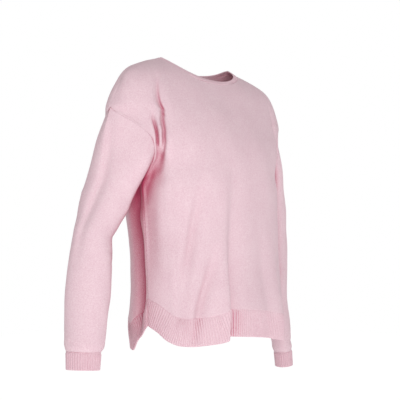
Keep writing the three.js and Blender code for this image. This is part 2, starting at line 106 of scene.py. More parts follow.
def maths(tree, operation, *values):
    """The result of a Math node with these values or sockets."""
    inputs = {f"_{k}": value for k, value in enumerate(values)}
    return node(tree, "ShaderNodeMath", {"operation": operation}, **inputs).outputs[0]


# %% Floor and lamps
FLOOR_DROP = 1.42  # metres from the shoulders to the floor
FLOOR_HALF = 9.0  # metres from the floor's middle to its edge
floor_corners = [(x * FLOOR_HALF, y * FLOOR_HALF, 0) for x, y in ((-1, -1), (1, -1), (1, 1), (-1, 1))]
floor_mesh = bpy.data.meshes.new("studio_floor")
floor_mesh.from_pydata(floor_corners, [], [(0, 1, 2, 3)])
floor = bpy.data.objects.new("studio_floor", floor_mesh)
floor.location = (0, 0, -FLOOR_DROP)
bpy.context.scene.collection.objects.link(floor)
floor_paint = bpy.data.materials.new("white_studio_paint")
floor_paint.use_nodes = True
paint = floor_paint.node_tree.nodes["Principled BSDF"]
paint.inputs["Base Color"].default_value = linear("#F4F4F4")
paint.inputs["Roughness"].default_value = 0.8
paint.inputs["Specular IOR Level"].default_value = 0.1
paint.inputs["Emission Color"].default_value = (1, 1, 1, 1)
paint.inputs["Emission Strength"].default_value = 0.60
floor_mesh.materials.append(floor_paint)

ROOM_LIGHT = 0.47  # the room gives this much light, though its walls are seen as plain white
world = bpy.data.worlds.new("white_studio")
world.use_nodes = True
world_tree = world.node_tree
background = world_tree.nodes["Background"]
background.inputs["Color"].default_value = (1, 1, 1, 1)
seen = node(world_tree, "ShaderNodeLightPath").outputs["Is Camera Ray"]
strength = node(world_tree, "ShaderNodeMapRange", {"To Min": ROOM_LIGHT, "To Max": 1.0}, Value=seen)
world_tree.links.new(strength.outputs["Result"], background.inputs["Strength"])
bpy.context.scene.world = world

# name, where it stands, what it points at, width, height (all in metres), watts
LAMPS = [
    ("key_softbox", (-1.8, -2.45, 0.1), (0, 0, -0.4), 1.5, 1.5, 53),
]
for name, place, aim, width, height, watts in LAMPS:
    lamp_data = bpy.data.lights.new(name, "AREA")
    lamp_data.shape = "RECTANGLE"
    lamp_data.size, lamp_data.size_y, lamp_data.energy = width, height, watts
    lamp = bpy.data.objects.new(name, lamp_data)
    lamp.location = place
    away = Vector(place) - Vector(aim)
    lamp.rotation_euler = away.to_track_quat("Z", "Y").to_euler()
    bpy.context.scene.collection.objects.link(lamp)
print("lamps:", [row[0] for row in LAMPS])

# %% [markdown]
# ## The measurements
# These tables are the garment. BODY has a row for each level: how far out the shoulder, armhole or
# side seam is, how deep it lies on the front and back panel, how deep the centre lines lie, how
# many degrees the section has turned by its edge, and how square it is (2 is an ellipse, more is
# boxier). The chest stands out and the cloth hangs free below it, so the front gets deeper all the
# way down, while the back falls in at the waist. The sleeves have a row for each ring.


# %% Tables and how to read them
def table(columns, *rows):
    return {name: np.array([row[k] for row in rows], float) for k, name in enumerate(columns.split())}


def read(rows, column, at):
    """A column at any value of the table's first column, smooth and with no overshoot."""
    x, y = rows[next(iter(rows))], rows[column]
    at = np.clip(at, x[0], x[-1])
    i = np.clip(np.searchsorted(x, at, side="right") - 1, 0, len(x) - 2)
    h, slope = np.diff(x), np.diff(y) / np.diff(x)
    tangent = np.concatenate([slope[:1], np.zeros(len(x) - 2), slope[-1:]])
    same = slope[:-1] * slope[1:] > 0
    before, after = np.where(same, slope[:-1], 1), np.where(same, slope[1:], 1)
    weighted = 3 * (h[:-1] + h[1:]) / ((2 * h[1:] + h[:-1]) / before + (h[1:] + 2 * h[:-1]) / after)
    tangent[1:-1] = np.where(same, weighted, 0)
    t = (at - x[i]) / h[i]
    near = (2 * t**3 - 3 * t**2 + 1) * y[i] + (t**3 - 2 * t**2 + t) * h[i] * tangent[i]
    return near + (3 * t**2 - 2 * t**3) * y[i + 1] + (t**3 - t**2) * h[i] * tangent[i + 1]


def smooth(v):
    v = np.clip(v, 0, 1)
    return v * v * (3 - 2 * v)


# %% The body's levels
BODY = table(
    "drop edgeX frontY backY centreF centreB turnF turnB sq",
    (0, 112, 0, 0, -8, 36, 90, 90, 2.5),
    (8, 139, -2, -2, -23, 43, 90, 90, 2.5),
    (16, 160, -5, -5, -35, 48, 90, 90, 2.6),
    (35, 207, -12, -12, -56, 56, 90, 90, 2.6),
    (50, 226, -17, -17, -69, 62, 90, 90, 2.5),
    (80, 244, -17, -17, -88, 73, 90, 90, 2.4),
    (107, 256, -15, -15, -102, 84, 90, 90, 2.2),
    (131, 264, -12, -12, -116, 92, 90, 90, 2.1),
    (146, 256, -30, 14, -123, 96, 78, 80, 2.1),
    (161, 238, -50, 36, -130, 100, 68, 70, 2.1),
    (179, 220, -68, 54, -138, 104, 62, 64, 2.1),
    (199, 206, -80, 66, -145, 108, 58, 62, 2.1),
    (215, 200, -81, 68, -149, 112, 58, 64, 2.1),
    (240, 194, -72, 51, -154, 117, 66, 72, 2.2),
    (265, 194, -53, 8, -157, 120, 78, 82, 2.2),
    (288, 196, -38, -38, -159, 122, 90, 90, 2.3),
    (354, 192, -40, -40, -161, 121, 90, 90, 2.3),
    (428, 190, -44, -44, -164, 99, 90, 90, 2.3),
    (498, 193, -52, -52, -169, 93, 90, 90, 2.3),
    (552, 195, -56, -56, -178, 95, 90, 90, 2.3),
    (585, 196, -58, -58, -180, 105, 90, 90, 2.3),
    (670, 197, -60, -60, -181, 96, 90, 90, 2.2),
)
NECK_HALF = 120  # half the neck width
NECK_DEPTH = {"front": 54, "back": 24}  # drop of the neck opening at the centre
NECK_SHARE = 3 / 7  # share of a half panel's wales that start on the neck opening
NECK_CURVE = 1.25  # 1 would be half an ellipse; more rises sooner from the centre
SHOULDER_DROP = 131  # where the shoulder seam ends and the armhole begins
UNDERARM_DROP = 288  # where the armhole ends and the side seam begins
RIB = 58  # height of the hem rib
WALL = 2.0  # thickness of the cloth
RIB_WALL = 2.4
# Drop of the hem at a share of the half width, from the centre to the side seam.
HEM = {
    "front right": table(
        "share drop", (0, 624), (0.14, 622), (0.24, 621), (0.31, 629), (0.4, 634), (0.5, 637),
        (0.6, 639), (0.7, 637), (0.8, 628), (0.9, 610), (1, 597),
    ),
    "front left": table(
        "share drop", (0, 624), (0.14, 627), (0.25, 630), (0.36, 635), (0.5, 638), (0.62, 638),
        (0.72, 635), (0.81, 626), (0.9, 610), (1, 597),
    ),
    "back right": table(
        "share drop", (0, 606), (0.3, 610), (0.5, 629), (0.66, 651), (0.76, 653),
        (0.86, 632), (1, 597),
    ),
    "back left": table(
        "share drop", (0, 606), (0.3, 609), (0.5, 622), (0.66, 635), (0.76, 636),
        (0.86, 623), (1, 597),
    ),
}
print("hem drops at the centre and the side seam, mm:", HEM["front left"]["drop"][[0, -1]])

# %% The sleeves' rings
# t runs from the end of the sleeve cap to the cuff's edge; x, y, drop are the ring's centre; long
# is the half axis from the outer back to the inner front of the arm, short the other one. The
# right arm is bent a little, so its cuff hangs higher.
ARM = {
    "right": table(
        "t x y drop long short",
        (0, 267, -1, 333, 54, 42), (0.1, 283, 2, 369, 47, 40), (0.2, 297, 4, 405, 42, 38),
        (0.32, 302, 3, 449, 46, 36), (0.53, 312, 0, 525, 47, 34), (0.7, 319, -2, 585, 44, 33),
        (0.83, 323, -4, 628, 42, 31), (0.9, 326, -5, 648, 37, 26), (1, 328, -6, 683, 35, 23),
    ),
    "left": table(
        "t x y drop long short",
        (0, 261, -2, 338, 54, 44), (0.1, 270, 0, 377, 48, 41), (0.2, 279, 2, 415, 43, 39),
        (0.32, 285, 4, 464, 47, 35), (0.53, 292, 4, 548, 46, 31), (0.7, 302, 0, 614, 44, 27),
        (0.83, 307, -2, 660, 42, 25), (0.9, 311, -4, 686, 37, 23), (1, 314, -5, 722, 36, 22),
    ),
}
# How the sleeve leaves the armhole: outwards and backwards for each step down, round its seam.
LEAVE = table(
    "turn out back", (0, 0.36, 0), (45, 0.3, 0.06), (90, 0.5, -0.04), (135, 0.5, 0.15),
    (180, 0.45, 0.3), (225, 0.55, 0.25), (270, 0.58, 0.09), (315, 0.5, 0.1), (360, 0.36, 0),
)
CAP = 0.26  # share of a sleeve taken by the cap round the armhole
CUFF_START = 0.9  # share of the arm where the cuff begins

# %% [markdown]
# ## The body's form
# A level of the body is two half sections, front and back, each a superellipse from the centre line
# to its seam. A wale, which is one column of knitted stitches, starts on the neck opening or on
# the shoulder seam, and runs down to the hem rib. So the grid of each panel is laid out as it is
# knitted: columns are wales, rows are courses.


# %% Half sections
STEPS = 96  # chords measured along one half section


def half_section(panel, drop, k):
    """Points of a half section at k, the share of its turn: distance from the middle, and depth."""
    own = "frontY" if panel == "front" else "backY"
    shared = (drop <= SHOULDER_DROP) | (drop >= UNDERARM_DROP)
    letter = "F" if panel == "front" else "B"
    edge = np.where(shared, read(BODY, "frontY", drop), read(BODY, own, drop))
    centre = read(BODY, "centre" + letter, drop)
    turn = np.radians(read(BODY, "turn" + letter, drop))
    power = 2 / read(BODY, "sq", drop)
    fall = 1 - np.maximum(np.cos(k * turn), 0) ** power
    x = read(BODY, "edgeX", drop) * np.sin(k * turn) ** power / np.sin(turn) ** power
    return x, centre + (edge - centre) * fall / (1 - np.maximum(np.cos(turn), 0) ** power)


def lengths(panel, drop):
    """Length along the half section at each of STEPS + 1 places, a row for each drop."""
    k = np.linspace(0, 1, STEPS + 1)
    x, y = half_section(panel, drop[:, None], k[None, :])
    chords = np.hypot(np.diff(x, axis=1), np.diff(y, axis=1))
    return np.concatenate([np.zeros((len(drop), 1)), np.cumsum(chords, axis=1)], axis=1)


def turn_at_share(panel, drop, share):
    """The share of the turn where a share of the length is reached, and the whole length."""
    length = lengths(panel, drop)
    want = share * length[:, -1]
    i = np.clip((length < want[:, None]).sum(axis=1) - 1, 0, STEPS - 1)
    rows = np.arange(len(drop))
    step = np.maximum(length[rows, i + 1] - length[rows, i], 1e-9)
    return (i + (want - length[rows, i]) / step) / STEPS, length[:, -1]


def share_at_x(panel, drop, x):
    """The share of the half section's length at a distance x from the middle."""
    turn = np.radians(read(BODY, "turnF" if panel == "front" else "turnB", drop))
    power = 2 / read(BODY, "sq", drop)
    ratio = np.clip(x / read(BODY, "edgeX", drop), 0, 1)
    k = np.arcsin(np.clip((ratio * np.sin(turn) ** power) ** (1 / power), 0, 1)) / turn
    length = lengths(panel, drop)
    i = np.clip((k * STEPS).astype(int), 0, STEPS - 1)
    rows = np.arange(len(drop))
    part = length[rows, i] + (length[rows, i + 1] - length[rows, i]) * (k * STEPS - i)
    return part / length[:, -1]


def plain_cloth(panel, drop, share):
    """Places on a panel, share -1 at the wearer's right seam to 1 at the left one, and girth."""
    flat_drop, flat_share = np.ravel(drop), np.ravel(share)
    k, girth = turn_at_share(panel, flat_drop, np.abs(flat_share))
    x, y = half_section(panel, flat_drop, k)
    place = np.stack([np.where(flat_share < 0, -x, x), y, -flat_drop], axis=1)
    return place.reshape(*np.shape(drop), 3), girth.reshape(np.shape(drop))


# %% Where wales start and end
ridge_levels = np.linspace(0, SHOULDER_DROP, 600)
ridge_reach = read(BODY, "edgeX", ridge_levels)
RIDGE_START = np.interp(NECK_HALF, ridge_reach, ridge_levels)  # drop where the neck opening meets it
ridge_run = np.concatenate([[0], np.cumsum(np.hypot(np.diff(ridge_reach), np.diff(ridge_levels)))])
ridge_run = ridge_run - np.interp(RIDGE_START, ridge_levels, ridge_run)
ridge_part = ridge_run / ridge_run[-1]  # share of the shoulder seam's length, from neck to tip


def column_top(panel, share):
    """Drop and distance from the middle where each wale starts, for share 0 to 1."""
    turn = np.clip(share / NECK_SHARE, 0, 1) * math.pi / 2
    neck_drop = RIDGE_START + (NECK_DEPTH[panel] - RIDGE_START) * np.cos(turn) ** NECK_CURVE
    on_ridge = share >= NECK_SHARE
    drop = np.interp((share - NECK_SHARE) / (1 - NECK_SHARE), ridge_part, ridge_levels)
    drop = np.where(on_ridge, drop, neck_drop)
    x = np.where(on_ridge, np.interp(drop, ridge_levels, ridge_reach), NECK_HALF * np.sin(turn))
    return drop, x


def hem_drop(panel, share):
    """The hem at a share of the width, which is negative on the wearer's right."""
    right = read(HEM[panel + " right"], "drop", np.abs(share))
    return np.where(share > 0, read(HEM[panel + " left"], "drop", np.abs(share)), right)


def rib_top(panel, share):
    """Drop and size of share of the rib's top line, the rib's height above the curved hem."""
    lean = 0.18  # how far the rib's columns turn square to the hem; none at the centre and seams
    step = 0.02  # of the share, either side, for the hem's slope
    size, side = np.abs(share), np.where(share < 0, -1, 1)
    hem = hem_drop(panel, share)
    girth = lengths(panel, hem)[:, -1]
    outer, inner = side * np.clip(size + step, 0, 1), side * np.clip(size - step, 0, 1)
    fall = (hem_drop(panel, outer) - hem_drop(panel, inner)) / (2 * step * girth)
    angle = np.arctan(fall) * lean * (1 - smooth((size - 0.82) / 0.18)) * smooth(size / 0.1)
    drop = hem - RIB * np.cos(angle)
    there = lengths(panel, drop)[:, -1]
    return drop, np.minimum(1, size + RIB * np.sin(angle) / there)


def spread_wales(panel, drop, size):
    """The share of the section where a wale lies: the wales stand evenly between neck and seam."""
    open_part = np.clip((drop - RIDGE_START) / (NECK_DEPTH[panel] - RIDGE_START), 0, 1)
    turn = np.arccos(open_part ** (1 / NECK_CURVE))
    first = turn / (math.pi / 2) * NECK_SHARE
    neck = share_at_x(panel, drop, NECK_HALF * np.sin(turn))
    last = NECK_SHARE + (1 - NECK_SHARE) * np.clip(np.interp(drop, ridge_levels, ridge_part), 0, 1)
    part = np.where(last - first > 1e-6, (size - first) / np.maximum(last - first, 1e-6), 1)
    return neck + (1 - neck) * np.clip(part, 0, 1)


def panel_grid(panel, columns, levels):
    """Drop and share at each row and column of a panel, from its top edge to the rib."""
    size = np.abs(columns)
    top_drop, _ = column_top(panel, size)
    foot_drop, foot_share = rib_top(panel, columns)
    drop = top_drop + (foot_drop - top_drop) * levels[:, None]
    wale = np.broadcast_to(size, drop.shape).ravel()
    share = spread_wales(panel, drop.ravel(), wale).reshape(drop.shape)
    # lower down, the columns ease over to where the rib's own columns start
    share = share + (foot_share - size) * smooth((levels[:, None] - 0.45) / 0.55)
    share = np.where(size > 0.999, 1.0, share)
    return drop, share * np.sign(columns + 1e-12)


def rib_grid(panel, columns, levels):
    """The same for the hem rib, from its top line to the hem."""
    size = np.abs(columns)
    top_drop, top_share = rib_top(panel, columns)
    drop = top_drop + (hem_drop(panel, columns) - top_drop) * levels[:, None]
    share = top_share + (size - top_share) * levels[:, None]
    return drop, share * np.sign(columns + 1e-12)


# %% The sleeves' form
def armhole(turn):
    """The armhole seam on the wearer's left: turn 0 at the shoulder, 90 front, 180 underarm."""
    drop = SHOULDER_DROP + (UNDERARM_DROP - SHOULDER_DROP) * (1 - np.cos(turn)) / 2
    y = np.where(turn <= math.pi, read(BODY, "frontY", drop), read(BODY, "backY", drop))
    return np.stack([read(BODY, "edgeX", drop), y, -drop], axis=-1)


def unit(v):
    return v / np.maximum(np.linalg.norm(v, axis=-1, keepdims=True), 1e-12)


def arm_ring(arm, t, turn):
    """Places on the sleeve's tube below the cap, and the way the arm runs there."""
    centre = lambda at: np.stack([read(arm, "x", at), read(arm, "y", at), -read(arm, "drop", at)], -1)
    down = unit(centre(np.clip(t + 0.02, 0, 1)) - centre(np.clip(t - 0.02, 0, 1)))
    out = unit(np.array([1.0, 0, 0]) - down * down[..., :1])
    front = np.cross(down, out)
    front = np.where(front[..., 1:2] < 0, front, -front)
    tilt = math.radians(-45)  # the long axis lies from the outer back to the inner front
    far = read(arm, "long", t) * np.cos(turn - tilt)
    near = read(arm, "short", t) * np.sin(turn - tilt)
    u = far * math.cos(tilt) - near * math.sin(tilt)
    v = far * math.sin(tilt) + near * math.cos(tilt)
    return centre(t) + out * u[..., None] + front * v[..., None], down


def sleeve_cloth(arm, t, turn):
    """Places on the whole sleeve: t 0 at the armhole seam, CAP where the tube begins, 1 at the cuff."""
    tube, _ = arm_ring(arm, np.clip((t - CAP) / (1 - CAP), 0, 1), turn)
    end, end_down = arm_ring(arm, np.zeros_like(t), turn)
    start = armhole(turn)
    reach = np.linalg.norm(end - start, axis=-1, keepdims=True)
    degrees = np.degrees(turn)
    out, back = read(LEAVE, "out", degrees), read(LEAVE, "back", degrees)
    leave = unit(np.stack([out, back, -np.ones_like(turn)], -1))
    w = np.clip(t / CAP, 0, 1)[..., None]
    cap = (2 * w**3 - 3 * w**2 + 1) * start + (w**3 - 2 * w**2 + w) * reach * 1.4 * leave
    cap = cap + (3 * w**2 - 2 * w**3) * end + (w**3 - w**2) * reach * end_down
    return np.where((t >= CAP)[..., None], tube, cap)


seam = armhole(np.linspace(0, 2 * math.pi, 200))
print("armhole, mm round:", round(float(np.linalg.norm(np.diff(seam, axis=0), axis=1).sum())))

# %% [markdown]
# ## Folds
# Soft knitwear has few folds, and they matter. Two narrow pleats run down beside each front
# armhole, where the arm pulls the shoulder back and the chest holds the cloth forward. A long flute
# hangs from the chest to the hem: a rounded roll with a sharp, shaded far side. The rest are shallow
# diagonal dents. Each fold is a row of stations down its run: where it is across the cloth, how
# far it rises or sinks, and how far it reaches on its two sides, so a steep side and a soft side
# can differ. lean slides the top of a roll sideways, so that it overhangs like a real one.


# %% How a fold shapes the cloth
def fold(*stations, lean=0):
    return table("at line rise low high", *stations), lean


def fold_shift(folds, along, across, period=None):
    """How far the cloth moves outwards and sideways under these folds."""
    out, sideways = np.zeros_like(along), np.zeros_like(along)
    for stations, lean in folds:
        away = across - read(stations, "line", along)
        if period:
            away = (away + period / 2) % period - period / 2
        reach = np.where(away < 0, read(stations, "low", along), read(stations, "high", along))
        inside = (along > stations["at"][0]) & (along < stations["at"][-1])
        swell = np.where(inside, np.exp(-((away / reach) ** 2)), 0)
        rise = read(stations, "rise", along) * swell
        out += rise
        sideways += lean * rise / max(np.abs(stations["rise"]).max(), 1e-9)
    return out, sideways


# %% The folds of the front
# Down the body, at is a drop and line is millimetres round from the centre line.
FRONT_FOLDS = [
    # wearer's right: two crescent pleats, one with its sharp edge under the chest, one under the arm
    fold((44, -170, 0, 5, 4), (64, -178, -3.5, 6, 4), (86, -186, -6, 7, 4.4), (108, -191, -7.5, 7, 5),
         (130, -193, -8.5, 7, 5.2), (150, -192, -9.5, 7, 5.2), (175, -191.5, -9.5, 7, 5.2),
         (200, -195, -10, 7, 5.6), (223, -200, -9, 7, 6.5), (238, -204, -7, 8, 9),
         (255, -208, -4.5, 10, 13), (290, -218, -2, 16, 18), (335, -228, 0, 18, 20), lean=-4),
    fold((130, -219, 0, 4, 4), (150, -213, -4, 4, 5), (168, -209, -8, 4, 5.5), (187, -208, -10, 4, 5.5),
         (206, -209, -11, 4, 5.5), (225, -210, -9.5, 5, 6), (240, -212, -8.5, 5, 9), (252, -218, -8, 6, 13),
         (270, -229, -6.5, 8, 18), (292, -242, -5, 10, 22), (340, -252, 0, 14, 22), lean=2),
    # the ridge between them, and the swell of the chest beside them
    fold((120, -203, 0, 6, 6), (148, -200, 4, 5, 5), (181, -200, 5, 5, 5), (206, -203, 4, 4, 4),
         (235, -206, 0, 5, 5)),
    fold((60, -160, 0, 14, 24), (110, -165, 3, 11, 34), (160, -166, 4, 10, 38), (220, -178, 2, 16, 38),
         (300, -190, 0, 20, 36)),
    # wearer's left, the same forces a little weaker
    fold((70, 178, 0, 4, 10), (110, 182, -4, 5, 10), (150, 183, -8, 5, 11), (190, 188, -8, 6, 11),
         (225, 200, -5, 10, 12), (290, 218, 0, 16, 14), lean=3),
    fold((130, 219, 0, 6, 4), (165, 208, -5, 7, 4), (205, 208, -8, 7, 4), (240, 217, -7, 8, 5),
         (290, 240, 0, 10, 10)),
    # the long flute: a roll on the near side of a narrow trough
    fold((230, -56, 0, 26, 22), (330, -66, 3, 30, 20), (430, -72, 6, 30, 14), (500, -76, 10, 30, 10),
         (570, -81, 13, 30, 9), (690, -91, 15, 30, 8), lean=9),
    fold((230, -30, 0, 16, 26), (330, -42, -3.5, 14, 30), (430, -48, -7, 10, 32), (500, -52, -10, 8, 32),
         (570, -57, -13, 7, 32), (690, -67, -14, 6, 32)),
    # soft diagonal dents
    fold((270, -112, 0, 12, 14), (340, -130, -8, 12, 14), (430, -148, -11, 12, 14), (520, -168, -6, 12, 13),
         (590, -176, 0, 11, 12)),
    fold((420, -90, 0, 12, 12), (490, -110, -10, 11, 13), (550, -134, -11, 11, 13), (640, -156, -5, 11, 12)),
    fold((330, 40, 0, 22, 22), (450, 52, -3, 20, 22), (600, 62, -4, 18, 22), (690, 66, -2, 18, 22)),
    fold((360, 96, 0, 26, 26), (480, 104, 4, 24, 26), (690, 112, 6, 22, 26)),
    fold((400, 150, 0, 18, 18), (500, 158, -4, 16, 16), (690, 168, -5, 14, 16)),
    # the cloth falls in beside the side seams
    fold((250, -215, 0, 26, 20), (380, -236, -5, 24, 20), (540, -234, 0, 24, 20)),
    fold((250, 215, 0, 20, 26), (380, 236, -5, 20, 24), (540, 234, 0, 20, 24)),
]

# %% The folds of the back
BACK_FOLDS = [
    # dents beside the armholes
    fold((66, -192, 0, 20, 20), (110, -191, -6, 12, 14), (165, -190, -10, 10, 12), (230, -202, -6, 16, 20),
         (340, -214, 0, 20, 24)),
    fold((110, -216, 0, 8, 8), (170, -211, -6, 7, 8), (225, -219, 0, 9, 10)),
    fold((66, 194, 0, 20, 20), (115, 193, -5, 14, 12), (170, 192, -9, 12, 10), (235, 203, -6, 20, 16),
         (340, 216, 0, 24, 20)),
    fold((120, 216, 0, 8, 8), (175, 211, -5, 8, 7), (220, 218, 0, 9, 9)),
    # deep scoops below the arms, where the cloth falls in
    fold((240, -270, 0, 20, 30), (300, -262, -14, 14, 30), (370, -246, -22, 14, 30),
         (440, -240, -27, 14, 28), (500, -244, -27, 14, 26), (550, -250, -25, 14, 24),
         (590, -254, -14, 14, 22), (625, -256, 0, 14, 22), lean=5),
    fold((240, 270, 0, 30, 20), (300, 262, -12, 30, 14), (370, 246, -18, 30, 14), (440, 240, -19, 28, 14),
         (500, 244, -16, 26, 14), (550, 250, -8, 24, 14), (600, 254, 0, 22, 14), lean=-5),
    # soft hanging folds, and slanting dents over the shoulder blades
    fold((260, -66, 0, 14, 22), (420, -60, -6, 12, 22), (560, -66, -8, 11, 22), (700, -74, -8, 11, 22)),
    fold((280, -92, 0, 22, 16), (430, -90, 5, 26, 16), (700, -104, 8, 26, 14), lean=3),
    fold((300, 62, 0, 24, 18), (450, 72, -5, 24, 14), (700, 66, -7, 22, 12)),
    fold((320, 104, 0, 20, 22), (460, 108, 4, 18, 22), (700, 104, 6, 16, 22)),
    fold((120, -90, 0, 18, 18), (190, -118, -3, 14, 16), (260, -150, 0, 14, 14)),
    fold((130, 96, 0, 18, 18), (200, 124, -3, 16, 14), (270, 152, 0, 14, 14)),
    fold((420, 4, 0, 24, 24), (520, 8, -3, 22, 22), (700, 0, -5, 20, 20)),
]
BODY_FOLDS = {"front": FRONT_FOLDS, "back": BACK_FOLDS}
print("folds on the front and back:", len(FRONT_FOLDS), len(BACK_FOLDS))

# %% The folds of the sleeves
# Lengthwise ones run along t with their line in degrees round the arm (0 outside, 90 front, 180
# against the body, 270 back). Crosswise ones run round the arm with their line at a t.
SLEEVE_LONG = {
    "right": [
        fold((0.02, 32, 0, 12, 16), (0.12, 30, -7.5, 10, 15), (0.28, 22, -7.5, 11, 16),
             (0.42, 15, -4, 13, 18), (0.58, 8, 0, 16, 20)),
        fold((0.02, 128, 0, 16, 14), (0.1, 132, -5, 13, 12), (0.22, 138, -3, 14, 14), (0.36, 140, 0, 16, 14)),
        fold((0.02, 230, 0, 14, 16), (0.1, 226, -5, 12, 14), (0.24, 222, -3, 14, 14), (0.36, 220, 0, 14, 16)),
        fold((0.5, 300, 0, 16, 18), (0.66, 292, -2.5, 14, 16), (0.84, 286, 0, 14, 16)),
    ],
    "left": [
        fold((0.05, 26, 0, 16, 18), (0.15, 22, -2.4, 14, 18), (0.3, 16, -1.6, 14, 20), (0.44, 8, 0, 16, 20)),
        fold((0.02, 126, 0, 16, 14), (0.11, 130, -4.5, 13, 12), (0.24, 136, -3, 14, 14),
             (0.36, 138, 0, 16, 14)),
        fold((0.02, 232, 0, 14, 16), (0.1, 228, -4.5, 12, 14), (0.22, 224, -3, 14, 14),
             (0.36, 222, 0, 14, 16)),
        fold((0.46, 320, 0, 16, 18), (0.62, 314, -2.5, 14, 16), (0.8, 306, 0, 14, 16)),
    ],
}
SLEEVE_CROSS = {
    "right": [
        fold((-20, 0.862, 0, 0.012, 0.012), (5, 0.876, -2.2, 0.011, 0.012), (34, 0.9, -1.8, 0.011, 0.012),
             (52, 0.915, 0, 0.011, 0.011)),
        fold((84, 0.47, 0, 0.016, 0.014), (112, 0.478, -1.2, 0.016, 0.015), (150, 0.492, 0, 0.014, 0.013)),
        fold((96, 0.525, 0, 0.014, 0.013), (126, 0.518, -1, 0.015, 0.015), (160, 0.53, 0, 0.013, 0.012)),
        fold((220, 0.86, 0, 0.013, 0.013), (250, 0.872, -2, 0.012, 0.012), (285, 0.888, 0, 0.012, 0.012)),
    ],
    "left": [
        fold((10, 0.9, 0, 0.012, 0.012), (40, 0.888, -2, 0.011, 0.012), (78, 0.87, 0, 0.011, 0.011)),
        fold((80, 0.49, 0, 0.015, 0.014), (112, 0.498, -1.2, 0.016, 0.015), (150, 0.51, 0, 0.014, 0.013)),
        fold((92, 0.55, 0, 0.014, 0.013), (126, 0.542, -1, 0.015, 0.015), (160, 0.552, 0, 0.013, 0.012)),
        fold((215, 0.87, 0, 0.013, 0.013), (250, 0.88, -2, 0.012, 0.012), (290, 0.862, 0, 0.012, 0.012)),
    ],
}

# %% [markdown]
# ## From grid to cloth
# Every piece is a grid of places on its outer face. The cloth is given its folds, a slight
# unevenness that no hand-washed knit is without, and a small roll along each seam, where linking
# pulls the edge in and the first wales stand up beside it. Then the grid becomes a thin closed
# wall: an outer face, an inner face one wall thickness behind it, and a rounded rim between.


# %% Facing, unevenness and seams
def eased(grid, passes):
    """The grid with its rows blended into each other, so that no level of the table shows as a line."""
    grid = grid.copy()
    for _ in range(passes):
        grid[1:-1] = grid[1:-1] / 2 + (grid[:-2] + grid[2:]) / 4
    return grid


def facing(grid, ring):
    """The way each place of a grid faces."""
    if ring:
        padded = np.concatenate([grid[:, -1:], grid, grid[:, :1]], axis=1)
        sideways = (padded[:, 2:] - padded[:, :-2])
    else:
        sideways = np.gradient(grid, axis=1)
    face = unit(np.cross(np.gradient(grid, axis=0), sideways))
    return face if ring else unit(eased(eased(face, 2).transpose(1, 0, 2), 2).transpose(1, 0, 2))


UNEVEN_SEED = {"front": 5, "back": 11, "right": 21, "left": 27}


def uneven(along, across, seed, size=1.1):
    """A slow unevenness of about size mm, from a few waves of 50 to 160 mm."""
    rng = np.random.default_rng(seed)
    total = np.zeros_like(along)
    for _ in range(9):
        pitch, way, phase = rng.uniform(50, 160), rng.uniform(0, math.pi), rng.uniform(0, 2 * math.pi)
        wave = along * math.sin(way) + across * math.cos(way)
        total += np.sin(2 * math.pi * wave / pitch + phase) * pitch / 160
    return total * size / 2


SEAM_SWELL = 0.3


def seam_swell(distance):
    """Linking draws the edge in, and the wales beside it swell. distance is in mm from the seam."""
    return SEAM_SWELL * (1 - np.exp(-((distance / 2.4) ** 2))) * np.exp(-((distance / 9) ** 2))


def distance_in(grid, axis, from_end=False):
    """Length along the rows or columns of a grid from its first or last line."""
    step = np.linalg.norm(np.diff(grid, axis=axis), axis=-1)
    if from_end:
        step = np.flip(step, axis)
    zero = np.zeros_like(np.take(step, [0], axis))
    total = np.concatenate([zero, np.cumsum(step, axis=axis)], axis=axis)
    return np.flip(total, axis) if from_end else total


# %% A grid becomes a closed wall of cloth
RIM_BULGE = 0.4  # of the wall's thickness


